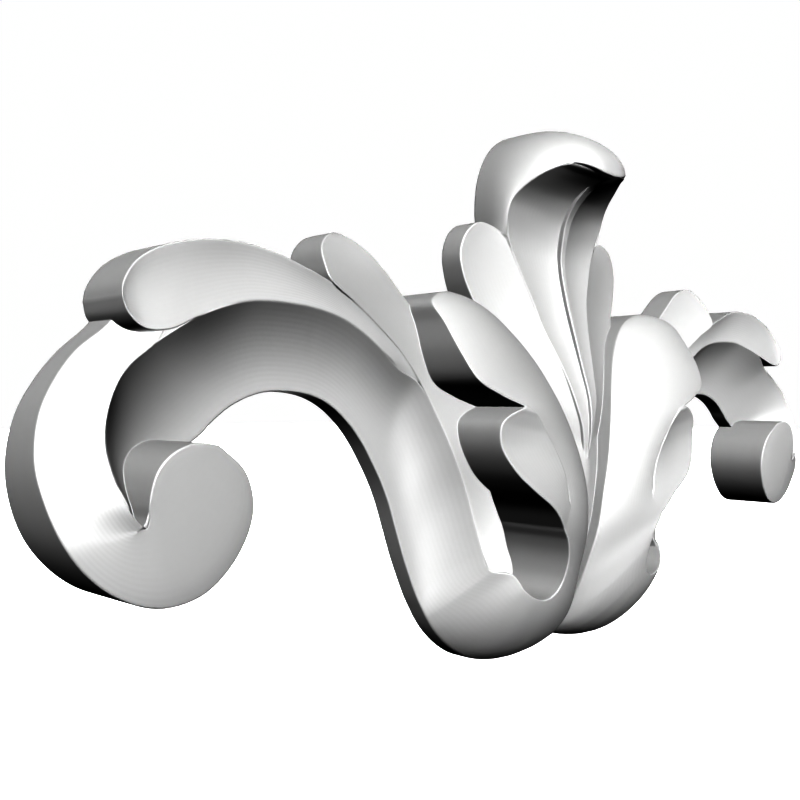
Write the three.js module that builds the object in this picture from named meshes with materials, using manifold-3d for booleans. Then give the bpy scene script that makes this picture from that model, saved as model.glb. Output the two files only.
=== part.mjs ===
// Carved onlay: a symmetric acanthus relief, cut from one block, with a flat back.
// Millimetres, +X across, +Z up. The back lies in the plane y = 0 and the carving faces -Y.
// The origin is on the back, on the centre line, at the height of the volutes' tops.

import * as THREE from 'three';
import { mergeVertices } from 'three/addons/utils/BufferGeometryUtils.js';
import Module from 'manifold-3d';

// Overall sizes
const WIDTH = 300;
const HEIGHT = 144;
const RELIEF = 31;

// Thickness of the thin outer rims, which is a wall and not a share of the relief
const RIM = 4.8;

// Groove between the two halves, and the vein that stands in the middle of the centre leaf
const GROOVE_WIDTH = 2.8;
const VEIN_WIDTH = 2.9;

// How far a leaf stands above the one it lies over, and how steeply that one falls away under it
const LAP = 0.12;
const TUCK_FALL = 1.6;

// Smoothness of the carving: steps from one station to the next, and what is merged away
const STEPS_ALONG = 2;
const SMALLEST_DETAIL = 0.01;

// The carving is drawn at this size, and is scaled from it to the sizes above
const DRAWN = { halfWidth: 150, height: 144, relief: 31 };
const across = WIDTH / 2 / DRAWN.halfWidth;
const up = HEIGHT / DRAWN.height;
const deep = RELIEF / DRAWN.relief;
const rim = RIM / deep;
const groove = GROOVE_WIDTH / 2 / across;

const wasm = await Module();
wasm.setup();

// Each leaf is a list of stations. A station holds the two ends of one cut across the leaf,
// as [distance from the centre line, height on the wall, relief above the back], and then
// how the surface runs from the first end to the second:
//   ease is 1 for a straight cut, more for one hollow at the first end, less for one full there
//   sag is the depth of a spoon-like hollow in the middle of the cut
//   tuck is how far the leaf runs on, past its second end, beneath the leaf that lies over it
// A leaf that lies over another stands LAP higher along the line that they share.

const crest = [
  [127.3, 10.6, 13.2],
  [134.6, 5.1, 14.6],
  [138.3, -0.9, 16.0],
  [140.0, -7.5, 17.7],
  [139.2, -13.5, 19.4],
  [136.9, -19.0, 20.5],
  [133.4, -22.4, 20.0],
];
const lobeFoot = [
  [118.7, 15.9, 14.3],
  [106.0, 19.7, 12.6],
  [96.0, 20.0, 12.3],
  [87.5, 19.2, 12.3],
  [80.8, 17.5, 12.4],
  [75.1, 14.8, 12.6],
  [69.6, 11.2, 12.7],
];
const crease = [
  [85.4, 25.8, 13.4],
  [77.5, 21.1, 12.9],
  [69.5, 16.0, 12.4],
  [62.1, 10.3, 12.1],
  [56.8, 4.2, 12.3],
  [51.8, -4.4, 13.3],
  [48.0, -12.8, 14.8],
  [44.0, -22.4, 15.5],
  [41.2, -32.5, 16.5],
  [40.2, -36.9, 17.3],
  [39.3, -41.0, 18.3],
];
const parting = [
  [36.5, -2.4, 29.1],
  [29.0, -8.2, 28.9],
  [24.2, -14.0, 28.8],
  [20.8, -20.6, 28.8],
  [19.8, -26.0, 29.0],
];
const lapped = (line) => line.map(([aside, height, relief]) => [aside, height, relief + LAP]);
const overCrest = lapped(crest);
const overFoot = lapped(lobeFoot);
const overCrease = lapped(lapped(crease));
const overParting = lapped(parting);

const volute = [
  [[132.0, 17.0, 8.6], [124.6, 14.0, 12.2], 1.1, 0],
  [[135.2, 13.3, 8.4], overCrest[0], 1.1, 0],
  [[140.0, 9.2, 7.4], overCrest[1], 1.2, 0],
  [[144.5, 3.9, 8.3], overCrest[2], 1.2, 0],
  [[148.1, -2.5, 9.7], overCrest[3], 1.2, 0],
  [[149.8, -10.5, 11.8], overCrest[4], 1.2, 0],
  [[149.2, -17.5, 14.4], overCrest[5], 1.1, 0],
  [[146.7, -24.5, 16.0], overCrest[6], 1.0, 0],
  [[142.3, -30.4, 16.1], [133.0, -21.0, 20.4], 0.9, 0],
  [[136.0, -35.2, 16.4], [133.2, -18.6, 20.6], 0.85, 0],
  [[128.0, -37.7, 16.8], [132.9, -15.6, 20.9], 0.7, 0],
  [[119.5, -36.0, 17.4], [131.8, -12.3, 21.2], 0.62, 0],
  [[112.8, -29.5, 18.3], [129.6, -9.8, 21.4], 0.6, 0],
  [[110.0, -21.5, 19.2], [127.0, -8.4, 21.5], 0.65, 0],
  [[112.2, -14.0, 20.1], [123.8, -7.7, 21.4], 0.8, 0],
  [[119.0, -8.4, 21.0], [119.0, -8.4, 21.0], 1.0, 0],
];

const scrollFlute = [
  [[131.0, -26.0, 15.0], [135.6, -25.4, 15.4], 1.0, 0, 0],
  [[130.8, -20.2, 12.8], crest[5], 1.6, 0, 1.2],
  [[130.2, -16.2, 10.4], crest[4], 1.8, 0, 1.2],
  [[128.2, -13.6, 7.8], crest[3], 1.9, 0, 1.2],
  [[124.6, -12.0, 5.6], crest[2], 2.0, 0, 1.2],
  [[118.4, -10.6, rim], crest[1], 2.1, 0, 1.2],
  [[112.2, -6.8, rim], crest[0], 2.2, 0, 1.2],
  [[109.6, -4.4, rim], [124.6, 12.4, 13.4], 2.2, 0, 1.2],
  [[104.9, -1.2, rim], lobeFoot[0], 2.2, 0, 1.2],
  [[97.8, 1.4, rim], lobeFoot[1], 2.2, 0, 1.2],
  [[90.5, 1.8, rim], lobeFoot[2], 2.2, 0, 1.2],
  [[83.2, 0.8, rim], lobeFoot[3], 2.1, 0, 1.2],
  [[77.6, -1.6, rim], lobeFoot[4], 2.3, 0, 1.2],
  [[72.6, -5.4, rim], lobeFoot[5], 2.5, 0, 1.2],
  [[68.4, -10.0, rim], lobeFoot[6], 2.8, 0, 1.2],
  [[65.0, -15.0, rim], [63.4, 7.0, 12.0], 3.1, 0, 1.2],
  [[62.2, -19.6, rim], [57.1, 3.9, 12.2], 3.3, 0, 1.2],
  [[59.6, -25.0, rim], crease[5], 3.1, 0, 1.2],
];

const bowl = [
  [[57.2, -31.5, rim], crease[6], 2.7, 0, 1.2],
  [[54.4, -39.0, rim], crease[7], 2.4, 0, 1.2],
  [[51.2, -46.2, rim], crease[8], 1.9, 0, 1.2],
  [[49.7, -49.2, rim], crease[9], 1.7, 0, 1.2],
  [[47.9, -52.2, rim], crease[10], 1.3, -0.1, 1.2],
  [[46.4, -54.6, rim], [38.4, -42.0, 19.2], 1.06, -0.3, 0.6],
  [[43.6, -58.2, rim], [34.4, -43.0, 22.6], 0.9, -0.6, 0.3],
  [[38.0, -63.2, rim], [32.4, -46.4, 24.4], 0.78, -1.0, 0],
  [[31.0, -67.0, rim], [29.0, -48.9, 25.4], 0.66, -1.35, 0],
  [[22.0, -68.8, rim], [24.9, -49.7, 25.7], 0.57, -1.5, 0],
  [[12.5, -68.2, rim], [21.6, -48.3, 26.3], 0.53, -1.5, 0],
  [[5.0, -66.4, rim], [20.0, -45.6, 27.1], 0.5, -1.3, 0],
  [[2.0, -63.8, 7.4], [19.6, -42.0, 28.1], 0.54, -1.1, 0],
  [[groove, -58.5, 11.9], [20.0, -38.6, 28.9], 0.57, -0.8, 0],
  [[groove, -50.5, 17.0], [21.4, -35.0, 29.6], 0.72, -0.8, 0],
];

const uprightLeaf = [
  [[groove + 0.3, -42.5, 20.4], [23.6, -31.0, 29.9], 1.0, -1.5, 0],
  [[groove + 1.2, -34.0, 22.7], parting[4], 1.0, -1.4, 1.2],
  [[4.0, -24.5, 23.5], parting[3], 1.0, -1.4, 1.2],
  [[6.4, -16.5, 23.3], parting[2], 1.0, -1.4, 1.2],
  [[9.0, -9.0, 22.3], parting[1], 1.0, -1.4, 1.2],
  [[11.8, -2.0, 20.8], parting[0], 1.0, -1.8, 0],
  [[14.6, 3.8, 19.1], [45.0, 0.7, 28.2], 1.0, -2.4, 0],
  [[17.6, 9.0, 17.4], [52.2, 4.4, 26.9], 1.0, -2.8, 0],
  [[21.0, 13.6, 15.7], [55.0, 10.8, 23.9], 1.0, -3.1, 0],
  [[25.3, 18.1, 13.9], [55.6, 18.4, 19.0], 1.0, -3.3, 0],
  [[31.0, 22.5, 12.3], [55.9, 23.0, 15.4], 1.0, -2.8, 0],
  [[38.0, 25.5, 11.3], [51.6, 25.5, 13.2], 1.0, -1.4, 0],
  [[45.5, 26.7, 11.2], [45.5, 26.7, 11.2], 1.0, 0, 0],
];

const pocketLobe = [
  [[18.8, -39.6, 26.6], [14.5, -35.0, 25.5], 1.0, 0],
  [[21.3, -34.5, 28.9], [17.2, -30.4, 28.2], 1.0, 0],
  [[25.2, -30.0, 30.5], overParting[4], 1.0, 0],
  [[28.7, -26.6, 30.9], overParting[3], 1.0, 0.1],
  [[36.5, -21.6, 30.7], [22.0, -17.6, 29.0], 1.0, 0.4],
  [[41.6, -17.0, 29.3], overParting[2], 1.0, 0.5],
  [[45.2, -10.6, 27.6], [26.6, -11.0, 29.1], 1.0, 0.5],
  [[45.2, -5.6, 27.9], overParting[1], 1.0, 0.4],
  [[42.2, -3.2, 28.6], [32.2, -4.6, 29.4], 1.0, 0.1],
  [[38.2, -1.6, 29.2], [34.2, -2.8, 29.4], 1.0, 0],
  [[35.8, 0.2, 27.0], [33.4, -1.6, 27.0], 1.0, 0],
];

const topLobe = [
  [[135.2, 18.4, 15.0], [135.2, 18.4, 15.0], 1.0, 0, 0],
  [[134.4, 15.4, 15.7], [134.6, 21.0, 14.1], 1.0, 0.4, 0],
  [[131.6, 12.9, 16.1], [131.6, 25.2, 13.1], 1.0, 0.9, 0],
  [[126.2, 12.9, 16.0], [126.0, 28.6, 12.5], 1.0, 1.2, 0],
  [overFoot[0], [116.7, 31.0, 12.3], 1.0, 1.2, 0],
  [overFoot[1], [106.0, 31.4, 12.1], 1.0, 0.9, 0],
  [overFoot[2], [98.4, 30.0, 12.6], 1.0, 0.7, 0],
  [overFoot[3], [91.8, 27.8, 13.1], 1.0, 0.5, 0],
  [overFoot[4], [84.6, 25.0, 13.2], 1.0, 0.3, 1.0],
  [overFoot[5], crease[1], 1.0, 0.3, 1.2],
  [overFoot[6], crease[2], 1.0, 0.2, 1.2],
  [[64.3, 7.6, 12.0], crease[3], 1.0, 0, 1.2],
  [[60.2, 2.8, 9.6], [56.9, 4.4, 12.1], 1.0, 0, 1.2],
];

const shortLobe = [
  [[79.6, 37.3, 8.0], [79.6, 37.3, 8.0], 1.0, 0],
  [[82.4, 36.1, 8.4], [76.4, 37.0, 7.6], 1.0, 0.1],
  [[85.2, 33.0, 10.1], [70.6, 34.9, 7.6], 1.0, 0.4],
  [[85.9, 29.4, 12.0], [64.6, 30.6, 8.1], 1.0, 0.6],
  [overCrease[0], [59.6, 26.2, 8.0], 1.0, 0.6],
  [overCrease[1], [54.4, 21.2, 8.4], 1.0, 0.5],
  [overCrease[2], [51.0, 16.2, 9.8], 1.0, 0.4],
  [overCrease[3], [48.0, 11.0, 11.2], 1.0, 0.3],
  [overCrease[4], [43.4, 5.0, 12.4], 1.0, 0.2],
  [overCrease[5], [35.5, -1.6, 14.2], 1.0, 0.2],
  [overCrease[6], [36.4, -12.0, 15.3], 1.0, 0.2],
  [overCrease[7], [34.8, -22.6, 15.8], 1.0, 0.2],
  [overCrease[8], [33.0, -31.8, 18.4], 1.0, 0.1],
  [overCrease[9], [33.1, -36.4, 19.8], 1.0, 0],
  [overCrease[10], [33.1, -40.6, 21.4], 1.0, 0],
  [[38.6, -43.6, 17.9], [33.9, -43.4, 22.0], 1.0, 0],
  [[38.0, -50.0, 14.4], [34.8, -50.0, 18.4], 1.0, 0],
];

// The floor of the deep pocket falls steeply from the short lobe's strip
const pocketFloor = [
  [[27.0, -17.0, 9.0], [36.6, -20.0, 13.2], 1.0, 0, 0],
  [[22.0, -26.6, 7.0], [34.2, -25.0, 14.6], 1.4, 0, 1.2],
  [[15.0, -37.0, 5.0], [33.6, -34.0, 17.2], 1.6, 0, 1.4],
  [[13.0, -46.0, 5.0], [34.2, -42.0, 18.8], 1.6, 0, 1.4],
  [[16.0, -55.0, 6.0], [34.0, -51.0, 15.0], 1.6, 0, 0],
];

const sideLobe = [
  [[20.4, 43.4, 9.4], [20.4, 43.4, 9.4], 1.0, 0, 0],
  [[23.8, 45.8, 7.5], [19.5, 42.4, 9.2], 1.6, 0, 1],
  [[28.6, 46.4, 7.0], [18.6, 40.8, 9.1], 1.6, 0, 1],
  [[33.2, 43.6, 6.7], [17.6, 38.6, 9.4], 1.6, 0, 1],
  [[35.6, 38.0, 6.4], [16.2, 35.3, 10.0], 1.6, 0, 1],
  [[34.6, 31.6, 6.8], [14.1, 30.4, 10.9], 1.6, 0, 1],
  [[31.5, 24.4, 8.0], [12.1, 25.3, 12.0], 1.6, 0, 1],
  [[28.0, 16.0, 10.6], [9.6, 17.0, 14.6], 1.6, 0, 1],
  [[21.0, 7.0, 14.6], [6.8, 8.4, 17.7], 1.5, 0, 1],
  [[15.5, -3.0, 17.0], [3.6, -2.6, 20.4], 1.4, 0, 1],
  [[12.0, -17.0, 17.0], [1.4, -16.0, 19.6], 1.2, 0, 1],
];

const grooveFloor = [
  [[13.0, -4.0, 16.0], [-0.6, -4.0, 19.6], 1.0, 0],
  [[8.0, -16.0, 19.2], [-0.6, -16.0, 21.2], 1.0, 0],
  [[5.8, -27.0, 20.2], [-0.6, -27.0, 20.8], 1.0, 0],
  [[4.4, -36.0, 19.4], [-0.6, -36.0, 19.2], 1.0, 0],
  [[3.6, -48.0, 14.8], [-0.6, -48.0, 14.6], 1.0, 0],
  [[3.6, -58.0, 9.0], [-0.6, -58.0, 8.8], 1.0, 0],
  [[3.6, -64.6, 3.6], [-0.6, -64.6, 3.6], 1.0, 0],
];

const centreLeaf = [
  [[-0.4, -21.0, 20.0], [0.5, -21.0, 19.8], 0.5, 0, 0],
  [[-0.4, -9.0, 22.0], [2.4, -9.0, 21.2], 0.5, 0, 0],
  [[-0.4, 0.0, 21.6], [5.2, 0.0, 20.5], 0.5, 0.1, 0],
  [[-0.4, 8.7, 19.3], [7.4, 8.9, 17.9], 0.5, 0.3, 0],
  [[-0.4, 19.2, 16.4], [10.8, 19.2, 14.1], 0.5, 0.5, 0],
  [[-0.4, 27.6, 14.2], [13.1, 27.4, 11.9], 0.5, 0.6, 0],
  [[-0.4, 35.0, 12.8], [16.3, 35.0, 10.4], 0.5, 0.8, 0],
  [[-0.4, 40.0, 12.5], [18.8, 40.6, 9.5], 0.5, 0.8, 0],
  [[-0.4, 44.0, 13.2], [20.2, 45.0, 9.6], 0.5, 0.8, 1],
  [[-0.4, 48.0, 14.2], [21.1, 49.6, 10.6], 0.55, 0.7, 1],
  [[-0.4, 51.0, 15.8], [20.8, 52.8, 11.8], 0.6, 0.6, 1],
  [[-0.4, 54.4, 18.6], [19.4, 55.8, 14.3], 0.65, 0.5, 1],
  [[-0.4, 57.0, 22.6], [17.2, 58.7, 18.2], 0.75, 0.3, 1],
  [[-0.4, 58.2, 26.0], [14.5, 60.6, 21.8], 0.85, 0.1, 1],
  [[-0.4, 59.0, 28.9], [12.2, 61.6, 24.6], 1.2, 0, 1],
  [[-0.4, 61.0, 26.8], [12.6, 63.4, 22.4], 1.2, 0, 0],
];

// The curled tip of the centre leaf rolls back over itself in a quarter round
const curl = [
  [[22.4, 41.0, 3.0], [18.6, 40.0, 7.6]],
  [[22.4, 46.0, 4.2], [20.6, 45.6, 9.8]],
  [[22.7, 50.4, rim], [21.1, 49.6, 10.8]],
  [[22.4, 55.4, rim], [20.8, 52.8, 12.0]],
  [[21.2, 60.4, rim], [19.4, 55.8, 14.5]],
  [[18.6, 65.6, rim], [17.2, 58.7, 18.4]],
  [[15.2, 69.4, rim], [14.5, 60.6, 22.0]],
  [[11.6, 71.8, rim], [12.0, 61.5, 24.9]],
  [[7.6, 73.5, rim], [8.0, 60.8, 27.6]],
  [[3.8, 74.5, rim], [4.0, 59.5, 29.1]],
  [[-0.6, 74.8, rim], [-0.6, 59.0, 29.4]],
];

// The vein's stations are its height on the wall, its relief and its share of VEIN_WIDTH
const vein = [
  [-22.0, 19.6, 0.2],
  [-8.0, 22.4, 0.3],
  [0.0, 22.0, 0.36],
  [8.7, 19.7, 0.42],
  [19.2, 16.8, 0.5],
  [27.6, 14.6, 0.6],
  [38.0, 12.9, 0.7],
  [44.0, 13.6, 0.8],
  [49.0, 14.9, 0.9],
  [53.0, 17.4, 0.95],
  [56.4, 21.0, 1],
  [59.4, 25.0, 1],
];

// Turns a drawn point into millimetres, with the relief towards -Y
function place([aside, height, relief]) {
  return new THREE.Vector3(aside * across, -relief * deep, height * up);
}

function smoothLine(points) {
  return new THREE.CatmullRomCurve3(points.map(place), false, 'centripetal');
}

function evenly(steps) {
  return Array.from({ length: steps + 1 }, (_, index) => index / steps);
}

// Surface between a cut's two ends, hollow or full as its ease and sag say
function easedCut(first, second, steps, ease, sag) {
  return evenly(steps).map((share) => {
    const point = first.clone().lerp(second, share);
    point.y = first.y + (second.y - first.y) * share ** ease;
    point.y += 4 * sag * deep * share * (1 - share);
    return point;
  });
}

// Quarter-round surface that leaves the second end level and meets the first one upright
function rolledCut(first, second, steps) {
  return evenly(steps).map((share) => {
    const turn = (1 - share) * Math.PI / 2;
    const point = second.clone().lerp(first, Math.sin(turn));
    point.y = first.y + (second.y - first.y) * Math.cos(turn);
    return point;
  });
}

// A cut with one more point, which runs on beneath the neighbouring leaf
function tucked(cut, reach) {
  const last = cut[cut.length - 1];
  const run = new THREE.Vector2(last.x - cut[0].x, last.z - cut[0].z).setLength(reach);
  return [...cut, new THREE.Vector3(last.x + run.x, last.y + reach * TUCK_FALL, last.z + run.y)];
}

// The cuts of a leaf, at its stations and at even steps between them
function cutsOf(stations, steps, makeCut) {
  const firstLine = smoothLine(stations.map((station) => station[0]));
  const secondLine = smoothLine(stations.map((station) => station[1]));
  const spans = stations.length - 1;
  const hasTuck = stations.some((station) => station[4] > 0);
  return evenly(spans * STEPS_ALONG).map((along) => {
    const span = Math.min(Math.floor(along * spans), spans - 1);
    const part = along * spans - span;
    const blend = (column) => THREE.MathUtils.lerp(
      stations[span][column] ?? 0, stations[span + 1][column] ?? 0, part);
    const first = firstLine.getPoint(along);
    const second = secondLine.getPoint(along);
    const cut = makeCut(first, second, steps, blend(2), blend(3));
    return hasTuck ? tucked(cut, blend(4)) : cut;
  });
}

// Closed geometry under a net of cuts: the carved face, the flat back and the walls between
function bodyUnder(cuts) {
  const columns = cuts[0].length;
  const vertices = [];
  for (const cut of cuts) {
    for (const point of cut) vertices.push(point.x, point.y, point.z);
    for (const point of cut) vertices.push(point.x, 0, point.z);
  }
  const face = (row, column) => row * columns * 2 + column;
  const back = (row, column) => face(row, column) + columns;
  const indices = [];
  const quad = (a, b, c, d) => indices.push(a, b, c, a, c, d);
  const lastRow = cuts.length - 1;
  const lastColumn = columns - 1;
  for (let row = 0; row < lastRow; row += 1) {
    for (let column = 0; column < lastColumn; column += 1) {
      quad(face(row, column), face(row, column + 1), face(row + 1, column + 1), face(row + 1, column));
      quad(back(row, column), back(row + 1, column), back(row + 1, column + 1), back(row, column + 1));
    }
    quad(face(row, 0), face(row + 1, 0), back(row + 1, 0), back(row, 0));
    quad(face(row, lastColumn), back(row, lastColumn), back(row + 1, lastColumn), face(row + 1, lastColumn));
  }
  for (let column = 0; column < lastColumn; column += 1) {
    quad(face(0, column), back(0, column), back(0, column + 1), face(0, column + 1));
    quad(face(lastRow, column), face(lastRow, column + 1), back(lastRow, column + 1), back(lastRow, column));
  }
  const geometry = new THREE.BufferGeometry();
  geometry.setAttribute('position', new THREE.Float32BufferAttribute(vertices, 3));
  geometry.setIndex(indices);
  return geometry;
}

// Six times the signed volume, which is negative when the faces point inwards
function signedVolume(positions, triangles) {
  const corner = (index) => new THREE.Vector3().fromArray(positions, index * 3);
  let sum = 0;
  for (let start = 0; start < triangles.length; start += 3) {
    const [a, b, c] = [0, 1, 2].map((step) => corner(triangles[start + step]));
    sum += a.dot(b.cross(c));
  }
  return sum;
}

function toSolid(geometry) {
  const merged = mergeVertices(geometry, 1e-4);
  const positions = merged.getAttribute('position').array;
  const index = merged.getIndex().array;
  const triangles = [];
  for (let start = 0; start < index.length; start += 3) {
    const [a, b, c] = index.slice(start, start + 3);
    if (a !== b && b !== c && c !== a) triangles.push(a, b, c);
  }
  if (signedVolume(positions, triangles) < 0) triangles.reverse();
  return new wasm.Manifold(new wasm.Mesh({
    numProp: 3,
    vertProperties: new Float32Array(positions),
    triVerts: new Uint32Array(triangles),
  }));
}

// A leaf's solid, with so many steps across each cut
function leaf(stations, steps, makeCut = easedCut) {
  return toSolid(bodyUnder(cutsOf(stations, steps, makeCut)));
}

// The vein is a narrow flat-topped rib that widens towards the curl
function veinRib() {
  const side = (sign) => vein.map(([height, relief, share]) => [
    sign * share * VEIN_WIDTH / 2 / across, height, relief]);
  const stations = side(1).map((point, index) => [point, side(-1)[index], 1, 0]);
  return leaf(stations, 1);
}

function mirrored(solid) {
  const mesh = solid.getMesh();
  const positions = Float32Array.from(mesh.vertProperties);
  for (let start = 0; start < positions.length; start += 3) positions[start] *= -1;
  const triangles = Uint32Array.from(mesh.triVerts).reverse();
  return new wasm.Manifold(new wasm.Mesh({ numProp: 3, vertProperties: positions, triVerts: triangles }));
}

// One half, cut off clean on the centre plane
function halfOnlay() {
  const whole = [
    leaf([...scrollFlute, ...bowl, ...uprightLeaf], 5),
    leaf(pocketLobe, 3),
    leaf(topLobe, 4),
    leaf(shortLobe, 3),
    leaf(pocketFloor, 2),
    leaf(sideLobe, 4),
    leaf(grooveFloor, 1),
    leaf(centreLeaf, 5),
    leaf(curl, 5, rolledCut),
  ].reduce((joined, piece) => joined.add(piece), leaf(volute, 4));
  return whole.trimByPlane([1, 0, 0], 0);
}

function onlayGeometry() {
  const half = halfOnlay();
  const mesh = half.add(mirrored(half)).add(veinRib()).simplify(SMALLEST_DETAIL).getMesh();
  const geometry = new THREE.BufferGeometry();
  geometry.setAttribute('position', new THREE.Float32BufferAttribute(mesh.vertProperties, 3));
  geometry.setIndex(Array.from(mesh.triVerts));
  geometry.computeVertexNormals();
  return geometry;
}

const greyFinish = new THREE.MeshStandardMaterial({ color: 0xb9b9b9, roughness: 0.5, metalness: 0 });

const carving = new THREE.Mesh(onlayGeometry(), greyFinish);
carving.name = 'carved_onlay';

const onlay = new THREE.Group();
onlay.add(carving);

export default onlay;
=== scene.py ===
"""Looks of a carved onlay: its fine carving, its grey finish, the studio and the camera.

The carving is moulded leaf by leaf. A leaf's tables are in millimetres, and each of its points is
a distance from the centre line, a height on the wall and a relief above the flat back. Everything
else is in metres, with the relief towards -Y and the curled tip up.
"""

import logging
import math
from dataclasses import dataclass, field
from enum import Enum

import bpy
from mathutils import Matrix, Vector


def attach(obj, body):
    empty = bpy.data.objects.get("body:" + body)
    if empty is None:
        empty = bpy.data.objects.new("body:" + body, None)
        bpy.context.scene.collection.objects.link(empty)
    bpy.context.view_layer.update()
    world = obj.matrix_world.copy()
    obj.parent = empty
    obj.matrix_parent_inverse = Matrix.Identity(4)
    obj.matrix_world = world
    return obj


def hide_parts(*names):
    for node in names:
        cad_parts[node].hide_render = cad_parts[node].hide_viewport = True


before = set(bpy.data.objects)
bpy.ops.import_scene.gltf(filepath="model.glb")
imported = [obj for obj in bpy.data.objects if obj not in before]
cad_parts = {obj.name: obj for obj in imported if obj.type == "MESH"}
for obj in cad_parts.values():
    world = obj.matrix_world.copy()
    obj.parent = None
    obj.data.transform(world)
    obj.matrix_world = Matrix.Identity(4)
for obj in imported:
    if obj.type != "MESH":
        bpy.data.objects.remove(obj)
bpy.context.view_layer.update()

LOG = logging.getLogger("carved_onlay")
MM = 0.001

# Points closer together than the first are one, and edges shorter than the second are none
MERGE_DISTANCE = 1e-6
SHORTEST_EDGE = 1e-7

# A step of a smooth line below this, the square root of a distance in millimetres, counts as none
SHORTEST_STEP = 1e-4

# The most of a cut that one rounded edge takes, and where its points lie within it
MOST_ROUNDED = 0.4
BEND_SHARES = (0.0, 0.15, 0.5)

# A Mix node's colour sockets share their names with its other sockets, so they go by number
MIX_FIRST = 6
MIX_SECOND = 7
MIX_RESULT = 2

Point = tuple[float, float, float]


class Section(Enum):
    """How a leaf's surface runs from one end of a cut to the other."""

    EASED = "eased"
    ROLLED = "rolled"


@dataclass(frozen=True)
class Cut:
    """One cut across a leaf.

    Attributes:
        first: The first end, as distance from the centre line, height on the wall and relief.
        second: The second end, in the same way.
        ease: 1 for a straight cut, more for one hollow at the first end, less for one full there.
        sag: Depth of a spoon-like hollow in the middle of the cut.
        tuck: How far the leaf runs on past its second end, beneath the leaf that lies over it.
    """

    first: Point
    second: Point
    ease: float = 1.0
    sag: float = 0.0
    tuck: float = 0.0


def lapped(line: list[Point], lap: float) -> list[Point]:
    """Returns a line raised above another leaf by a lap, in millimetres."""
    return [(aside, height, relief + lap) for aside, height, relief in line]


# How far a leaf stands above the one it lies over, the height of the thin outer rims, half the
# width of the groove between the halves and the width of the centre leaf's vein
LAP = 0.12
RIM = 4.8
HALF_GROOVE = 1.4
VEIN_WIDTH = 2.9

# Lines that two leaves share
CREST = [
    (127.3, 10.6, 13.2),
    (134.6, 5.1, 14.6),
    (138.3, -0.9, 16.0),
    (140.0, -7.5, 17.7),
    (139.2, -13.5, 19.4),
    (136.9, -19.0, 20.5),
    (133.4, -22.4, 20.0),
]
LOBE_FOOT = [
    (118.7, 15.9, 14.3),
    (106.0, 19.7, 12.6),
    (96.0, 20.0, 12.3),
    (87.5, 19.2, 12.3),
    (80.8, 17.5, 12.4),
    (75.1, 14.8, 12.6),
    (69.6, 11.2, 12.7),
]
CREASE = [
    (85.4, 25.8, 13.4),
    (77.5, 21.1, 12.9),
    (69.5, 16.0, 12.4),
    (62.1, 10.3, 12.1),
    (56.8, 4.2, 12.3),
    (51.8, -4.4, 13.3),
    (48.0, -12.8, 14.8),
    (44.0, -22.4, 15.5),
    (41.2, -32.5, 16.5),
    (40.2, -36.9, 17.3),
    (39.3, -41.0, 18.3),
]
PARTING = [
    (36.5, -2.4, 29.1),
    (29.0, -8.2, 28.9),
    (24.2, -14.0, 28.8),
    (20.8, -20.6, 28.8),
    (19.8, -26.0, 29.0),
]

# The same lines as the upper leaf has them
OVER_CREST = lapped(CREST, LAP)
OVER_FOOT = lapped(LOBE_FOOT, LAP)
OVER_CREASE = lapped(CREASE, 2 * LAP)
OVER_PARTING = lapped(PARTING, LAP)

# The cuts of each leaf, from one tip to the other
VOLUTE = [
    Cut((132.0, 17.0, 8.6), (124.6, 14.0, 12.2), 1.1, 0),
    Cut((135.2, 13.3, 8.4), OVER_CREST[0], 1.1, 0),
    Cut((140.0, 9.2, 7.4), OVER_CREST[1], 1.2, 0),
    Cut((144.5, 3.9, 8.3), OVER_CREST[2], 1.2, 0),
    Cut((148.1, -2.5, 9.7), OVER_CREST[3], 1.2, 0),
    Cut((149.8, -10.5, 11.8), OVER_CREST[4], 1.2, 0),
    Cut((149.2, -17.5, 14.4), OVER_CREST[5], 1.1, 0),
    Cut((146.7, -24.5, 16.0), OVER_CREST[6], 1.0, 0),
    Cut((142.3, -30.4, 16.1), (133.0, -21.0, 20.4), 0.9, 0),
    Cut((136.0, -35.2, 16.4), (133.2, -18.6, 20.6), 0.85, 0),
    Cut((128.0, -37.7, 16.8), (132.9, -15.6, 20.9), 0.7, 0),
    Cut((119.5, -36.0, 17.4), (131.8, -12.3, 21.2), 0.62, 0),
    Cut((112.8, -29.5, 18.3), (129.6, -9.8, 21.4), 0.6, 0),
    Cut((110.0, -21.5, 19.2), (127.0, -8.4, 21.5), 0.65, 0),
    Cut((112.2, -14.0, 20.1), (123.8, -7.7, 21.4), 0.8, 0),
    Cut((119.0, -8.4, 21.0), (119.0, -8.4, 21.0), 1.0, 0),
]

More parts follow.
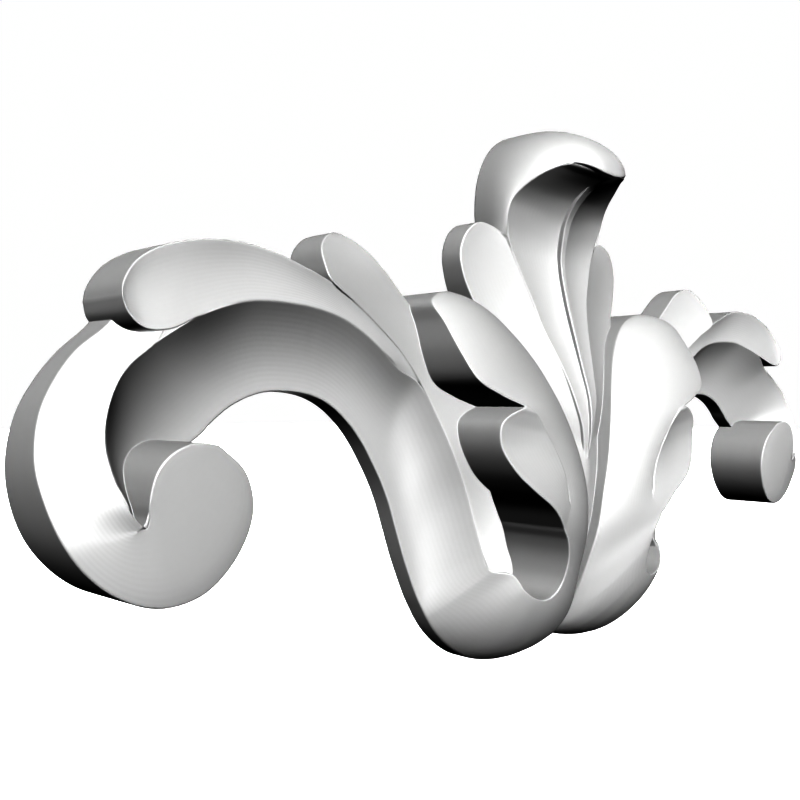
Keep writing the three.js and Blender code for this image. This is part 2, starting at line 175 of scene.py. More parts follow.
SCROLL_FLUTE = [
    Cut((131.0, -26.0, 15.0), (135.6, -25.4, 15.4), 1.0, 0, 0),
    Cut((130.8, -20.2, 12.8), CREST[5], 1.6, 0, 1.2),
    Cut((130.2, -16.2, 10.4), CREST[4], 1.8, 0, 1.2),
    Cut((128.2, -13.6, 7.8), CREST[3], 1.9, 0, 1.2),
    Cut((124.6, -12.0, 5.6), CREST[2], 2.0, 0, 1.2),
    Cut((118.4, -10.6, RIM), CREST[1], 2.1, 0, 1.2),
    Cut((112.2, -6.8, RIM), CREST[0], 2.2, 0, 1.2),
    Cut((109.6, -4.4, RIM), (124.6, 12.4, 13.4), 2.2, 0, 1.2),
    Cut((104.9, -1.2, RIM), LOBE_FOOT[0], 2.2, 0, 1.2),
    Cut((97.8, 1.4, RIM), LOBE_FOOT[1], 2.2, 0, 1.2),
    Cut((90.5, 1.8, RIM), LOBE_FOOT[2], 2.2, 0, 1.2),
    Cut((83.2, 0.8, RIM), LOBE_FOOT[3], 2.1, 0, 1.2),
    Cut((77.6, -1.6, RIM), LOBE_FOOT[4], 2.3, 0, 1.2),
    Cut((72.6, -5.4, RIM), LOBE_FOOT[5], 2.5, 0, 1.2),
    Cut((68.4, -10.0, RIM), LOBE_FOOT[6], 2.8, 0, 1.2),
    Cut((65.0, -15.0, RIM), (63.4, 7.0, 12.0), 3.1, 0, 1.2),
    Cut((62.2, -19.6, RIM), (57.1, 3.9, 12.2), 3.3, 0, 1.2),
    Cut((59.6, -25.0, RIM), CREASE[5], 3.1, 0, 1.2),
]

BOWL = [
    Cut((57.2, -31.5, RIM), CREASE[6], 2.7, 0, 1.2),
    Cut((54.4, -39.0, RIM), CREASE[7], 2.4, 0, 1.2),
    Cut((51.2, -46.2, RIM), CREASE[8], 1.9, 0, 1.2),
    Cut((49.7, -49.2, RIM), CREASE[9], 1.7, 0, 1.2),
    Cut((47.9, -52.2, RIM), CREASE[10], 1.3, -0.1, 1.2),
    Cut((46.4, -54.6, RIM), (38.4, -42.0, 19.2), 1.06, -0.3, 0.6),
    Cut((43.6, -58.2, RIM), (34.4, -43.0, 22.6), 0.9, -0.6, 0.3),
    Cut((38.0, -63.2, RIM), (32.4, -46.4, 24.4), 0.78, -1.0, 0),
    Cut((31.0, -67.0, RIM), (29.0, -48.9, 25.4), 0.66, -1.35, 0),
    Cut((22.0, -68.8, RIM), (24.9, -49.7, 25.7), 0.57, -1.5, 0),
    Cut((12.5, -68.2, RIM), (21.6, -48.3, 26.3), 0.53, -1.5, 0),
    Cut((5.0, -66.4, RIM), (20.0, -45.6, 27.1), 0.5, -1.3, 0),
    Cut((2.0, -63.8, 7.4), (19.6, -42.0, 28.1), 0.54, -1.1, 0),
    Cut((HALF_GROOVE, -58.5, 11.9), (20.0, -38.6, 28.9), 0.57, -0.8, 0),
    Cut((HALF_GROOVE, -50.5, 17.0), (21.4, -35.0, 29.6), 0.72, -0.8, 0),
]

UPRIGHT_LEAF = [
    Cut((HALF_GROOVE + 0.3, -42.5, 20.4), (23.6, -31.0, 29.9), 1.0, -1.5, 0),
    Cut((HALF_GROOVE + 1.2, -34.0, 22.7), PARTING[4], 1.0, -1.4, 1.2),
    Cut((4.0, -24.5, 23.5), PARTING[3], 1.0, -1.4, 1.2),
    Cut((6.4, -16.5, 23.3), PARTING[2], 1.0, -1.4, 1.2),
    Cut((9.0, -9.0, 22.3), PARTING[1], 1.0, -1.4, 1.2),
    Cut((11.8, -2.0, 20.8), PARTING[0], 1.0, -1.8, 0),
    Cut((14.6, 3.8, 19.1), (45.0, 0.7, 28.2), 1.0, -2.4, 0),
    Cut((17.6, 9.0, 17.4), (52.2, 4.4, 26.9), 1.0, -2.8, 0),
    Cut((21.0, 13.6, 15.7), (55.0, 10.8, 23.9), 1.0, -3.1, 0),
    Cut((25.3, 18.1, 13.9), (55.6, 18.4, 19.0), 1.0, -3.3, 0),
    Cut((31.0, 22.5, 12.3), (55.9, 23.0, 15.4), 1.0, -2.8, 0),
    Cut((38.0, 25.5, 11.3), (51.6, 25.5, 13.2), 1.0, -1.4, 0),
    Cut((45.5, 26.7, 11.2), (45.5, 26.7, 11.2), 1.0, 0, 0),
]

POCKET_LOBE = [
    Cut((18.8, -39.6, 26.6), (14.5, -35.0, 25.5), 1.0, 0),
    Cut((21.3, -34.5, 28.9), (17.2, -30.4, 28.2), 1.0, 0),
    Cut((25.2, -30.0, 30.5), OVER_PARTING[4], 1.0, 0),
    Cut((28.7, -26.6, 30.9), OVER_PARTING[3], 1.0, 0.1),
    Cut((36.5, -21.6, 30.7), (22.0, -17.6, 29.0), 1.0, 0.4),
    Cut((41.6, -17.0, 29.3), OVER_PARTING[2], 1.0, 0.5),
    Cut((45.2, -10.6, 27.6), (26.6, -11.0, 29.1), 1.0, 0.5),
    Cut((45.2, -5.6, 27.9), OVER_PARTING[1], 1.0, 0.4),
    Cut((42.2, -3.2, 28.6), (32.2, -4.6, 29.4), 1.0, 0.1),
    Cut((38.2, -1.6, 29.2), (34.2, -2.8, 29.4), 1.0, 0),
    Cut((35.8, 0.2, 27.0), (33.4, -1.6, 27.0), 1.0, 0),
]

TOP_LOBE = [
    Cut((135.2, 18.4, 15.0), (135.2, 18.4, 15.0), 1.0, 0, 0),
    Cut((134.4, 15.4, 15.7), (134.6, 21.0, 14.1), 1.0, 0.4, 0),
    Cut((131.6, 12.9, 16.1), (131.6, 25.2, 13.1), 1.0, 0.9, 0),
    Cut((126.2, 12.9, 16.0), (126.0, 28.6, 12.5), 1.0, 1.2, 0),
    Cut(OVER_FOOT[0], (116.7, 31.0, 12.3), 1.0, 1.2, 0),
    Cut(OVER_FOOT[1], (106.0, 31.4, 12.1), 1.0, 0.9, 0),
    Cut(OVER_FOOT[2], (98.4, 30.0, 12.6), 1.0, 0.7, 0),
    Cut(OVER_FOOT[3], (91.8, 27.8, 13.1), 1.0, 0.5, 0),
    Cut(OVER_FOOT[4], (84.6, 25.0, 13.2), 1.0, 0.3, 1.0),
    Cut(OVER_FOOT[5], CREASE[1], 1.0, 0.3, 1.2),
    Cut(OVER_FOOT[6], CREASE[2], 1.0, 0.2, 1.2),
    Cut((64.3, 7.6, 12.0), CREASE[3], 1.0, 0, 1.2),
    Cut((60.2, 2.8, 9.6), (56.9, 4.4, 12.1), 1.0, 0, 1.2),
]

SHORT_LOBE = [
    Cut((79.6, 37.3, 8.0), (79.6, 37.3, 8.0), 1.0, 0),
    Cut((82.4, 36.1, 8.4), (76.4, 37.0, 7.6), 1.0, 0.1),
    Cut((85.2, 33.0, 10.1), (70.6, 34.9, 7.6), 1.0, 0.4),
    Cut((85.9, 29.4, 12.0), (64.6, 30.6, 8.1), 1.0, 0.6),
    Cut(OVER_CREASE[0], (59.6, 26.2, 8.0), 1.0, 0.6),
    Cut(OVER_CREASE[1], (54.4, 21.2, 8.4), 1.0, 0.5),
    Cut(OVER_CREASE[2], (51.0, 16.2, 9.8), 1.0, 0.4),
    Cut(OVER_CREASE[3], (48.0, 11.0, 11.2), 1.0, 0.3),
    Cut(OVER_CREASE[4], (43.4, 5.0, 12.4), 1.0, 0.2),
    Cut(OVER_CREASE[5], (35.5, -1.6, 14.2), 1.0, 0.2),
    Cut(OVER_CREASE[6], (36.4, -12.0, 15.3), 1.0, 0.2),
    Cut(OVER_CREASE[7], (34.8, -22.6, 15.8), 1.0, 0.2),
    Cut(OVER_CREASE[8], (33.0, -31.8, 18.4), 1.0, 0.1),
    Cut(OVER_CREASE[9], (33.1, -36.4, 19.8), 1.0, 0),
    Cut(OVER_CREASE[10], (33.1, -40.6, 21.4), 1.0, 0),
    Cut((38.6, -43.6, 17.9), (33.9, -43.4, 22.0), 1.0, 0),
    Cut((38.0, -50.0, 14.4), (34.8, -50.0, 18.4), 1.0, 0),
]

# The floor of the deep pocket falls steeply from the short lobe's strip
POCKET_FLOOR = [
    Cut((27.0, -17.0, 9.0), (36.6, -20.0, 13.2), 1.0, 0, 0),
    Cut((22.0, -26.6, 7.0), (34.2, -25.0, 14.6), 1.4, 0, 1.2),
    Cut((15.0, -37.0, 5.0), (33.6, -34.0, 17.2), 1.6, 0, 1.4),
    Cut((13.0, -46.0, 5.0), (34.2, -42.0, 18.8), 1.6, 0, 1.4),
    Cut((16.0, -55.0, 6.0), (34.0, -51.0, 15.0), 1.6, 0, 0),
]

SIDE_LOBE = [
    Cut((20.4, 43.4, 9.4), (20.4, 43.4, 9.4), 1.0, 0, 0),
    Cut((23.8, 45.8, 7.5), (19.5, 42.4, 9.2), 1.6, 0, 1),
    Cut((28.6, 46.4, 7.0), (18.6, 40.8, 9.1), 1.6, 0, 1),
    Cut((33.2, 43.6, 6.7), (17.6, 38.6, 9.4), 1.6, 0, 1),
    Cut((35.6, 38.0, 6.4), (16.2, 35.3, 10.0), 1.6, 0, 1),
    Cut((34.6, 31.6, 6.8), (14.1, 30.4, 10.9), 1.6, 0, 1),
    Cut((31.5, 24.4, 8.0), (12.1, 25.3, 12.0), 1.6, 0, 1),
    Cut((28.0, 16.0, 10.6), (9.6, 17.0, 14.6), 1.6, 0, 1),
    Cut((21.0, 7.0, 14.6), (6.8, 8.4, 17.7), 1.5, 0, 1),
    Cut((15.5, -3.0, 17.0), (3.6, -2.6, 20.4), 1.4, 0, 1),
    Cut((12.0, -17.0, 17.0), (1.4, -16.0, 19.6), 1.2, 0, 1),
]

GROOVE_FLOOR = [
    Cut((13.0, -4.0, 16.0), (-0.6, -4.0, 19.6), 1.0, 0),
    Cut((8.0, -16.0, 19.2), (-0.6, -16.0, 21.2), 1.0, 0),
    Cut((5.8, -27.0, 20.2), (-0.6, -27.0, 20.8), 1.0, 0),
    Cut((4.4, -36.0, 19.4), (-0.6, -36.0, 19.2), 1.0, 0),
    Cut((3.6, -48.0, 14.8), (-0.6, -48.0, 14.6), 1.0, 0),
    Cut((3.6, -58.0, 9.0), (-0.6, -58.0, 8.8), 1.0, 0),
    Cut((3.6, -64.6, 3.6), (-0.6, -64.6, 3.6), 1.0, 0),
]

CENTRE_LEAF = [
    Cut((-0.4, -21.0, 20.0), (0.5, -21.0, 19.8), 0.5, 0, 0),
    Cut((-0.4, -9.0, 22.0), (2.4, -9.0, 21.2), 0.5, 0, 0),
    Cut((-0.4, 0.0, 21.6), (5.2, 0.0, 20.5), 0.5, 0.1, 0),
    Cut((-0.4, 8.7, 19.3), (7.4, 8.9, 17.9), 0.5, 0.3, 0),
    Cut((-0.4, 19.2, 16.4), (10.8, 19.2, 14.1), 0.5, 0.5, 0),
    Cut((-0.4, 27.6, 14.2), (13.1, 27.4, 11.9), 0.5, 0.6, 0),
    Cut((-0.4, 35.0, 12.8), (16.3, 35.0, 10.4), 0.5, 0.8, 0),
    Cut((-0.4, 40.0, 12.5), (18.8, 40.6, 9.5), 0.5, 0.8, 0),
    Cut((-0.4, 44.0, 13.2), (20.2, 45.0, 9.6), 0.5, 0.8, 1),
    Cut((-0.4, 48.0, 14.2), (21.1, 49.6, 10.6), 0.55, 0.7, 1),
    Cut((-0.4, 51.0, 15.8), (20.8, 52.8, 11.8), 0.6, 0.6, 1),
    Cut((-0.4, 54.4, 18.6), (19.4, 55.8, 14.3), 0.65, 0.5, 1),
    Cut((-0.4, 57.0, 22.6), (17.2, 58.7, 18.2), 0.75, 0.3, 1),
    Cut((-0.4, 58.2, 26.0), (14.5, 60.6, 21.8), 0.85, 0.1, 1),
    Cut((-0.4, 59.0, 28.9), (12.2, 61.6, 24.6), 1.2, 0, 1),
    Cut((-0.4, 61.0, 26.8), (12.6, 63.4, 22.4), 1.2, 0, 0),
]

# The curled tip of the centre leaf rolls back over itself in a quarter round
CURL = [
    Cut((22.4, 41.0, 3.0), (18.6, 40.0, 7.6)),
    Cut((22.4, 46.0, 4.2), (20.6, 45.6, 9.8)),
    Cut((22.7, 50.4, RIM), (21.1, 49.6, 10.8)),
    Cut((22.4, 55.4, RIM), (20.8, 52.8, 12.0)),
    Cut((21.2, 60.4, RIM), (19.4, 55.8, 14.5)),
    Cut((18.6, 65.6, RIM), (17.2, 58.7, 18.4)),
    Cut((15.2, 69.4, RIM), (14.5, 60.6, 22.0)),
    Cut((11.6, 71.8, RIM), (12.0, 61.5, 24.9)),
    Cut((7.6, 73.5, RIM), (8.0, 60.8, 27.6)),
    Cut((3.8, 74.5, RIM), (4.0, 59.5, 29.1)),
    Cut((-0.6, 74.8, RIM), (-0.6, 59.0, 29.4)),
]

# The vein's stations are its height on the wall, its relief and its share of VEIN_WIDTH
VEIN_LINE = [
    (-22.0, 19.6, 0.2),
    (-8.0, 22.4, 0.3),
    (0.0, 22.0, 0.36),
    (8.7, 19.7, 0.42),
    (19.2, 16.8, 0.5),
    (27.6, 14.6, 0.6),
    (38.0, 12.9, 0.7),
    (44.0, 13.6, 0.8),
    (49.0, 14.9, 0.9),
    (53.0, 17.4, 0.95),
    (56.4, 21.0, 1),
    (59.4, 25.0, 1),
]

VEIN = [
    Cut((share * VEIN_WIDTH / 2, height, relief), (-share * VEIN_WIDTH / 2, height, relief))
    for height, relief, share in VEIN_LINE
]


class SmoothLine:
    """A centripetal Catmull-Rom line through the points of a leaf's edge."""

    def __init__(self, points: list[Point]) -> None:
        """Keeps the points, with one more beyond each end.

        Args:
            points: The edge's points in order, in millimetres.
        """
        inner = [Vector(point) for point in points]
        before = inner[0] * 2 - inner[1]
        after = inner[-1] * 2 - inner[-2]
        self.points = [before, *inner, after]

    def at(self, share: float) -> Vector:
        """Finds a point on the line.

        Args:
            share: 0 at the first point, 1 at the last, with every span counted alike.

        Returns:
            The point, in millimetres.
        """
        spans = len(self.points) - 3
        span = min(int(share * spans), spans - 1)
        part = share * spans - span
        p0, p1, p2, p3 = self.points[span:span + 4]
        steps = [math.sqrt((b - a).length) for a, b in ((p0, p1), (p1, p2), (p2, p3))]
        middle = steps[1] if steps[1] > SHORTEST_STEP else 1.0
        first = steps[0] if steps[0] > SHORTEST_STEP else middle
        last = steps[2] if steps[2] > SHORTEST_STEP else middle
        leave = ((p1 - p0) / first - (p2 - p0) / (first + middle) + (p2 - p1) / middle) * middle
        reach = ((p2 - p1) / middle - (p3 - p1) / (middle + last) + (p3 - p2) / last) * middle
        squared = part * part
        cubed = squared * part
        return (
            p1 * (2 * cubed - 3 * squared + 1)
            + leave * (cubed - 2 * squared + part)
            + p2 * (3 * squared - 2 * cubed)
            + reach * (cubed - squared)
        )


@dataclass
class Leaf:
    """One leaf, lobe or scroll of the carving, as a closed body down to the flat back.

    Attributes:
        name: The leaf's name while it is built.
        cuts: Its cuts, from one tip to the other.
        section: How its surface runs across.
        across: Steps across each cut, without those of the rounded edges.
        along: Steps from one cut to the next.
        edge_round: Radius of its rounded edges, in millimetres.
        tuck_fall: How steeply it falls away beneath the leaf that lies over it.
        first_line: The smooth line through the cuts' first ends.
        second_line: The smooth line through their second ends.
    """

    name: str
    cuts: list[Cut]
    section: Section = Section.EASED
    across: int = 12
    along: int = 6
    edge_round: float = 0.35
    tuck_fall: float = 1.6
    first_line: SmoothLine = field(init=False)
    second_line: SmoothLine = field(init=False)

    def __post_init__(self) -> None:
        """Lays a smooth line along each edge."""
        self.first_line = SmoothLine([cut.first for cut in self.cuts])
        self.second_line = SmoothLine([cut.second for cut in self.cuts])

    @property
    def is_tucked(self) -> bool:
        """Whether any of the leaf runs on beneath another."""
        return any(cut.tuck > 0 for cut in self.cuts)

    def blend(self, share: float, name: str) -> float:
        """Returns a cut's value between two of the leaf's cuts.

        Args:
            share: How far along the leaf.
            name: The name of the value.
        """
        spans = len(self.cuts) - 1
        span = min(int(share * spans), spans - 1)
        part = share * spans - span
        return (1 - part) * getattr(self.cuts[span], name) + part * getattr(self.cuts[span + 1], name)

    def shares_across(self, width: float) -> list[float]:
        """Spaces the points of a cut, closer together on the rounded edges.

        Args:
            width: The cut's width, in millimetres.

        Returns:
            Shares of the width, from 0 to 1.
        """
        edge = min(self.edge_round / width, MOST_ROUNDED) if width > 0 else MOST_ROUNDED
        bend = [edge * share for share in BEND_SHARES]
        middle = [edge + (1 - 2 * edge) * step / self.across for step in range(self.across + 1)]
        return [*bend, *middle, *(1 - share for share in reversed(bend))]

    def edge_drop(self, inset: float) -> float:
        """Returns how far the rounded edge lies below the surface.

        Args:
            inset: Distance from the nearer end of the cut, in millimetres.
        """
        reach = max(self.edge_round - inset, 0.0)
        return self.edge_round - math.sqrt(self.edge_round ** 2 - reach ** 2)

    def cut_points(self, share: float) -> list[Vector]:
        """Works out one cut across the leaf.

        Args:
            share: How far along the leaf.

        Returns:
            The cut's points, in millimetres.
        """
        first = self.first_line.at(share)
        second = self.second_line.at(share)
        span = second - first
        width = math.hypot(span.x, span.y)
        ease = self.blend(share, "ease")
        sag = self.blend(share, "sag")
        tuck = self.blend(share, "tuck")
        points = []
        for part in self.shares_across(width):
            if self.section is Section.ROLLED:
                turn = (1 - part) * math.pi / 2
                point = second.lerp(first, math.sin(turn))
                point.z = first.z + span.z * math.cos(turn)
                inset = (point - second).to_2d().length
            else:
                point = first.lerp(second, part)
                point.z = first.z + span.z * part ** ease - 4 * sag * part * (1 - part)
                inset = (part if tuck > 0 else min(part, 1 - part)) * width
            point.z -= self.edge_drop(inset)
            points.append(point)
        if self.is_tucked:
            points.append(self.tucked(points, tuck))
        return points

    def tucked(self, points: list[Vector], reach: float) -> Vector:
        """Returns the point that a cut runs on to beneath its neighbour.

        Args:
            points: The cut's points.
            reach: How far it runs on, in millimetres.
        """
        last = points[-1]
        run = (last - points[0]).to_2d()
        if run.length > 0:
            run = run.normalized() * reach
        return Vector((last.x + run.x, last.y + run.y, last.z - reach * self.tuck_fall))

    def build(self) -> bpy.types.Object:
        """Moulds a grid to the leaf's surface and extrudes it to the back.

        Returns:
            The leaf as a closed body.
        """
        rows = (len(self.cuts) - 1) * self.along
        cuts = [self.cut_points(row / rows) for row in range(rows + 1)]
        columns = len(cuts[0]) - 1
        bpy.ops.object.select_all(action="DESELECT")
        bpy.ops.mesh.primitive_grid_add(x_subdivisions=rows, y_subdivisions=columns, size=2)
        body = bpy.context.object
        body.name = self.name
        for vertex in body.data.vertices:
            row = round((vertex.co.x + 1) / 2 * rows)
            column = round((vertex.co.y + 1) / 2 * columns)
            aside, height, relief = cuts[row][column]
            vertex.co = (-aside * MM, -relief * MM, height * MM)
        bpy.ops.object.mode_set(mode="EDIT")
        bpy.ops.mesh.select_all(action="SELECT")
        bpy.ops.mesh.extrude_region_move()
        bpy.ops.transform.resize(value=(1, 0, 1), center_override=(0, 0, 0))
        bpy.ops.mesh.select_all(action="SELECT")
        bpy.ops.mesh.remove_doubles(threshold=MERGE_DISTANCE)
        bpy.ops.mesh.dissolve_degenerate(threshold=SHORTEST_EDGE)
        bpy.ops.mesh.normals_make_consistent(inside=False)
        bpy.ops.object.mode_set(mode="OBJECT")
        return body


class Socket:
    """A value in a material, which Python's operators turn into Math nodes."""

    def __init__(self, nodes: "NodeBench", link: bpy.types.NodeSocket) -> None:
        """Wraps a node's output.

        Args:
            nodes: Where the Math nodes are added.
            link: The output.
        """
        self.nodes = nodes
        self.link = link

    def _math(self, operation: str, *values: object) -> "Socket":
        """Adds one Math node and returns its result."""
        return self.nodes.add("ShaderNodeMath", {"operation": operation}, dict(enumerate(values)))

    def __add__(self, other: object) -> "Socket":
        """Returns the sum."""
        return self._math("ADD", self, other)

    __radd__ = __add__

    def __mul__(self, other: object) -> "Socket":
        """Returns the product."""
        return self._math("MULTIPLY", self, other)

    __rmul__ = __mul__

    def __sub__(self, other: object) -> "Socket":
        """Returns this less the other."""
        return self._math("SUBTRACT", self, other)

    def __rsub__(self, other: object) -> "Socket":
        """Returns the other less this."""
        return self._math("SUBTRACT", other, self)

    def sine(self) -> "Socket":
        """Returns the sine."""
        return self._math("SINE", self)


class NodeBench:
    """Adds nodes to one material."""

    def __init__(self, tree: bpy.types.NodeTree) -> None:
        """Keeps the material's tree.

        Args:
            tree: The tree.
        """
        self.tree = tree

    def add(
        self,
        kind: str,
        settings: dict[str, object] | None = None,
        inputs: dict[object, object] | None = None,
        output: object = 0,
    ) -> Socket:
        """Adds a node.

        Args:
            kind: The node's type.
            settings: Its settings, which are set before its sockets.
            inputs: Values or links by the socket's name or number.
            output: Which of its outputs to return.

        Returns:
            The output.
        """
        node = self.tree.nodes.new(kind)
        for name, value in (settings or {}).items():
            setattr(node, name, value)
        for name, value in (inputs or {}).items():
            if isinstance(value, Socket):
                self.tree.links.new(value.link, node.inputs[name])
            else:
                node.inputs[name].default_value = value
        return Socket(self, node.outputs[output])


@dataclass(frozen=True)
class SatinGrey:
    """An even grey finish over smooth carving, with the faint marks of the cutter.

    Attributes:
        light: The finish where it is lightest.
        dark: The finish where it is darkest.
        cloud_scale: Fineness of the broad changes in colour.
        cloud_share: Their share of the colour's changes, of which the grain has the rest.
        grain_scale: Fineness of the grain.
        roughness: How matt it is.
        roughness_spread: How much the grain changes that.
        specular: How strongly it reflects.
        corner_round: How far corners and the feet of walls are softened.
        corner_samples: How finely that is worked out.
        mark_strength: How plainly the cutter's marks show.
        mark_depth: How deep they are.
        mark_rate: How closely they follow each other across a leaf.
        mark_height: Their height beside that of the streaks, which is 1.
        streak_scale: Fineness of the streaks.
        streak_stretch: How much the streaks are drawn out from the back to the front.
    """

    light: tuple[float, float, float, float] = (0.46, 0.46, 0.46, 1.0)
    dark: tuple[float, float, float, float] = (0.44, 0.44, 0.44, 1.0)
    cloud_scale: float = 45.0
    cloud_share: float = 0.7
    grain_scale: float = 2600.0
    roughness: float = 0.62
    roughness_spread: float = 0.06
    specular: float = 0.5
    corner_round: float = 0.45 * MM
    corner_samples: int = 6
    mark_strength: float = 0.25
    mark_depth: float = 0.02 * MM
    mark_rate: float = 150.0
    mark_height: float = 0.5
    streak_scale: float = 900.0
    streak_stretch: float = 0.02

    def material(self) -> bpy.types.Material:
        """Makes the finish.

        Returns:
            The material.
        """
        material = bpy.data.materials.new("satin_grey")
        material.use_nodes = True
        tree = material.node_tree
        tree.nodes.clear()
        bench = NodeBench(tree)
        place = bench.add("ShaderNodeTexCoord", output="Object")
        clouds = bench.add(
            "ShaderNodeTexNoise", inputs={"Vector": place, "Scale": self.cloud_scale, "Detail": 3.0}
        )
        grain = bench.add(
            "ShaderNodeTexNoise", inputs={"Vector": place, "Scale": self.grain_scale, "Detail": 2.0}
        )
        mixture = clouds * self.cloud_share + grain * (1 - self.cloud_share)
        colour = bench.add(
            "ShaderNodeMix",
            {"data_type": "RGBA"},
            {"Factor": mixture, MIX_FIRST: self.dark, MIX_SECOND: self.light},
            output=MIX_RESULT,
        )
        softened = bench.add(
            "ShaderNodeBevel", {"samples": self.corner_samples}, {"Radius": self.corner_round}
        )
        marked = bench.add(
            "ShaderNodeBump",
            inputs={
                "Strength": self.mark_strength,
                "Distance": self.mark_depth,
                "Height": self.marks(bench, place),
                "Normal": softened,
            },
        )
        least_rough = self.roughness - self.roughness_spread / 2
        shader = bench.add(
            "ShaderNodeBsdfPrincipled",
            inputs={
                "Base Color": colour,
                "Roughness": grain * self.roughness_spread + least_rough,
                "Specular IOR Level": self.specular,
                "Normal": marked,
            },
        )
        output = tree.nodes.new("ShaderNodeOutputMaterial")
        tree.links.new(shader.link, output.inputs["Surface"])
        return material

    def marks(self, bench: NodeBench, place: Socket) -> Socket:
        """Returns the height of the cutter's marks.

        Args:
            bench: The material's nodes.
            place: The place on the object.
        """
        lie = bench.add("ShaderNodeUVMap", {"uv_map": "UVMap"})
        over = bench.add("ShaderNodeSeparateXYZ", inputs={"Vector": lie}, output="Y")
        drawn_out = bench.add(
            "ShaderNodeMapping", inputs={"Vector": place, "Scale": (1.0, self.streak_stretch, 1.0)}
        )
        streaks = bench.add(
            "ShaderNodeTexNoise",
            inputs={"Vector": drawn_out, "Scale": self.streak_scale, "Detail": 1.0},
        )
        return (over * self.mark_rate).sine() * self.mark_height + streaks


@dataclass
class CarvedOnlay:
    """The onlay: every leaf of one half joined, mirrored and finished.

    Attributes:
        node: The solid that the carving stands for.
        slot: The record's finish, which is not used.
        finish: The finish.
        smooth_angle: Edges sharper than this stay crisp.
    """

    node: str = "carved_onlay"
    slot: str = "grey_finish"
    finish: SatinGrey = SatinGrey()
    smooth_angle: float = math.radians(38)

    def leaves(self) -> list[Leaf]:
        """Returns the leaves of one half, the lowest first."""
        return [
            Leaf("band", SCROLL_FLUTE + BOWL + UPRIGHT_LEAF, across=18),
            Leaf("volute", VOLUTE, across=12),
            Leaf("top_lobe", TOP_LOBE, across=12),
            Leaf("short_lobe", SHORT_LOBE, across=10),
            Leaf("pocket_floor", POCKET_FLOOR, across=8),
            Leaf("pocket_lobe", POCKET_LOBE, across=10),
            Leaf("side_lobe", SIDE_LOBE, across=12),
            Leaf("groove_floor", GROOVE_FLOOR, across=4),
            Leaf("centre_leaf", CENTRE_LEAF, across=14),
            Leaf("curl", CURL, section=Section.ROLLED, across=14),
            Leaf("vein", VEIN, across=4, edge_round=0.2),
        ]

    def build(self) -> bpy.types.Object:
        """Builds the carving and lets it stand for the solid.

        Returns:
            The carving.
        """
        bodies = [leaf.build() for leaf in self.leaves()]
        carving = bodies[0]
        for body in bodies[1:]:
            self.join(carving, body)
        self.mirror(carving)
        carving.name = "fine_carving"
        carving.data.name = "fine_carving"
        self.dress(carving)
        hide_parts(self.node)
        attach(carving, "root")
        LOG.info("%s has %d faces", carving.name, len(carving.data.polygons))
        return carving

    def join(self, carving: bpy.types.Object, body: bpy.types.Object) -> None:
        """Joins one more leaf to the carving.

        Args:
            carving: What is joined so far.
            body: The leaf, which is used up.
        """
        bpy.ops.object.select_all(action="DESELECT")
        bpy.context.view_layer.objects.active = carving
        carving.select_set(True)
        union = carving.modifiers.new("union", "BOOLEAN")
        union.operation = "UNION"
        union.solver = "MANIFOLD"
        union.object = body
        bpy.ops.object.modifier_apply(modifier=union.name)
        bpy.data.objects.remove(body)
        LOG.info("joined: %d faces", len(carving.data.polygons))

    def mirror(self, carving: bpy.types.Object) -> None:
        """Cuts the carving on the centre plane and mirrors it.

        Args:
            carving: One half of the carving.
        """
        bpy.ops.object.mode_set(mode="EDIT")
        bpy.ops.mesh.select_all(action="SELECT")
        bpy.ops.mesh.bisect(
            plane_co=(0, 0, 0), plane_no=(1, 0, 0), clear_outer=True, threshold=MERGE_DISTANCE
        )
        bpy.ops.object.mode_set(mode="OBJECT")
        twin = carving.modifiers.new("twin", "MIRROR")
        twin.merge_threshold = 2 * MERGE_DISTANCE
        bpy.ops.object.modifier_apply(modifier=twin.name)

    def dress(self, carving: bpy.types.Object) -> None:
        """Smooths the carving's shading and gives it its finish.

        Args:
            carving: The whole carving.
        """
        bpy.ops.object.shade_smooth_by_angle(angle=self.smooth_angle)
        weighted = carving.modifiers.new("weighted", "WEIGHTED_NORMAL")
        weighted.keep_sharp = True
        bpy.ops.object.modifier_apply(modifier=weighted.name)
        carving.data.materials.clear()
        carving.data.materials.append(self.finish.material())


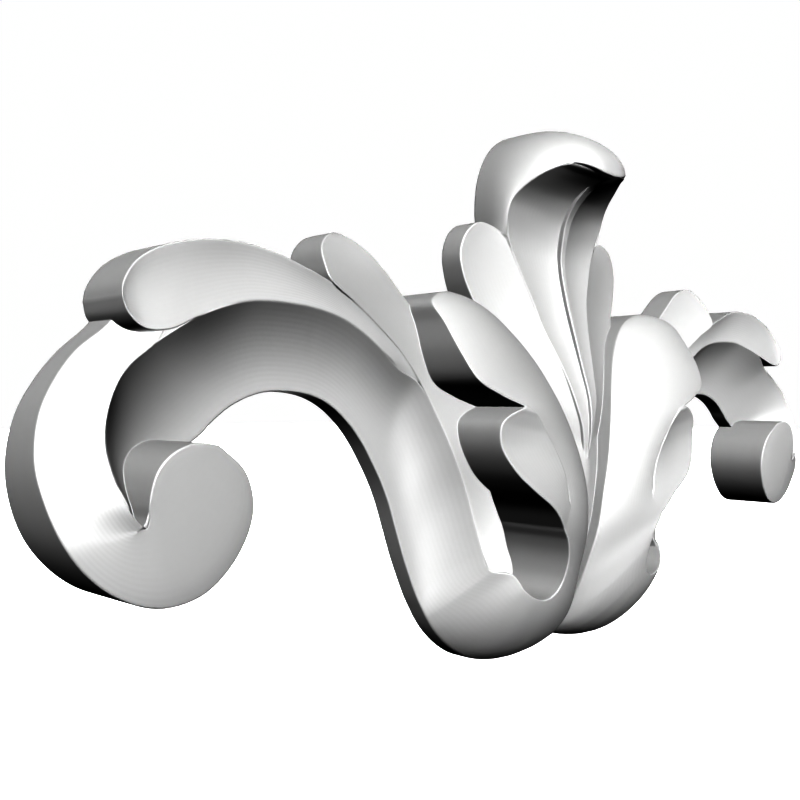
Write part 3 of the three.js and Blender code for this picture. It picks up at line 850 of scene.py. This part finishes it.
@dataclass
class Studio:
    """Plain studio: a pale floor, soft lights and the camera of the photograph.

    Attributes:
        camera_place: Where the camera stands, level with the onlay's origin.
        camera_turn: How far it is turned to the right from facing the onlay.
        view_angle: Its angle of view.
        floor_height: Height of the floor, well below the onlay.
        floor_size: Length of the floor's sides.
        floor_colour: The floor's colour.
        floor_glow: How brightly the floor shows by itself, as it lights nothing.
        key_from: Where the main light comes from, up and to the left.
        key_strength: Strength of the main light on matt surfaces.
        gloss_strength: Strength of its sheen.
        key_spread: How large it looks.
        back_from: Where the light on the hidden side comes from.
        back_strength: Its strength.
        back_spread: How large it looks.
    """

    camera_place: tuple[float, float, float] = (-0.2211, -0.170, 0.0)
    camera_turn: float = math.radians(45)
    view_angle: float = math.radians(45)
    floor_height: float = -0.19
    floor_size: float = 12.0
    floor_colour: tuple[float, float, float, float] = (0.9, 0.9, 0.9, 1.0)
    floor_glow: float = 0.6
    key_from: tuple[float, float, float] = (-0.46, -0.757, 0.42)
    key_strength: float = 6.5
    gloss_strength: float = 29.0
    key_spread: float = math.radians(18)
    back_from: tuple[float, float, float] = (0.45, 0.89, 0.0)
    back_strength: float = 4.0
    back_spread: float = math.radians(30)

    def build(self) -> None:
        """Builds the studio."""
        self.place_camera()
        self.lay_floor()
        self.add_sun("key", self.key_from, self.key_strength, self.key_spread)
        gloss = self.add_sun("gloss", self.key_from, self.gloss_strength, self.key_spread)
        gloss.visible_diffuse = False
        self.add_sun("back", self.back_from, self.back_strength, self.back_spread)
        self.whiten_background()

    def place_camera(self) -> None:
        """Sets up the camera at the photograph's place."""
        lens = bpy.data.cameras.new("camera")
        lens.angle = self.view_angle
        lens.clip_start = 0.001
        camera = bpy.data.objects.new("camera", lens)
        camera.location = self.camera_place
        camera.rotation_euler = (math.radians(90), 0, -self.camera_turn)
        bpy.context.scene.collection.objects.link(camera)
        bpy.context.scene.camera = camera

    def lay_floor(self) -> None:
        """Lays a plain pale floor that lights nothing."""
        bpy.ops.object.select_all(action="DESELECT")
        bpy.ops.mesh.primitive_plane_add(size=self.floor_size, location=(0, 0, self.floor_height))
        floor = bpy.context.object
        floor.name = "floor"
        bpy.ops.object.transform_apply(location=True)
        material = bpy.data.materials.new("pale_floor")
        material.use_nodes = True
        shader = material.node_tree.nodes["Principled BSDF"]
        shader.inputs["Base Color"].default_value = self.floor_colour
        shader.inputs["Roughness"].default_value = 1
        shader.inputs["Emission Color"].default_value = (1, 1, 1, 1)
        shader.inputs["Emission Strength"].default_value = self.floor_glow
        floor.data.materials.append(material)
        floor.visible_diffuse = False
        floor.visible_glossy = False
        floor.visible_shadow = False

    def add_sun(
        self, name: str, source: tuple[float, float, float], strength: float, spread: float
    ) -> bpy.types.Object:
        """Adds one soft light.

        Args:
            name: The light's name.
            source: Where it comes from.
            strength: Its strength.
            spread: How large it looks, which sets its softness.

        Returns:
            The light.
        """
        lamp = bpy.data.lights.new(name, "SUN")
        lamp.energy = strength
        lamp.angle = spread
        lamp.use_shadow = False
        lamp.cycles.max_bounces = 0
        light = bpy.data.objects.new(name, lamp)
        light.rotation_euler = Vector(source).to_track_quat("Z", "Y").to_euler()
        bpy.context.scene.collection.objects.link(light)
        return light

    def whiten_background(self) -> None:
        """Makes the background white without letting it light the onlay."""
        scene = bpy.context.scene
        world = bpy.data.worlds.new("studio")
        world.use_nodes = True
        background = world.node_tree.nodes["Background"]
        background.inputs["Color"].default_value = (1, 1, 1, 1)
        background.inputs["Strength"].default_value = 1.0
        world.cycles_visibility.diffuse = False
        world.cycles_visibility.glossy = False
        scene.world = world
        scene.view_settings.view_transform = "Raw"


def main() -> None:
    """Builds the onlay and the studio."""
    logging.basicConfig(level=logging.INFO)
    Studio().build()
    CarvedOnlay().build()


if __name__ == "__main__":
    main()
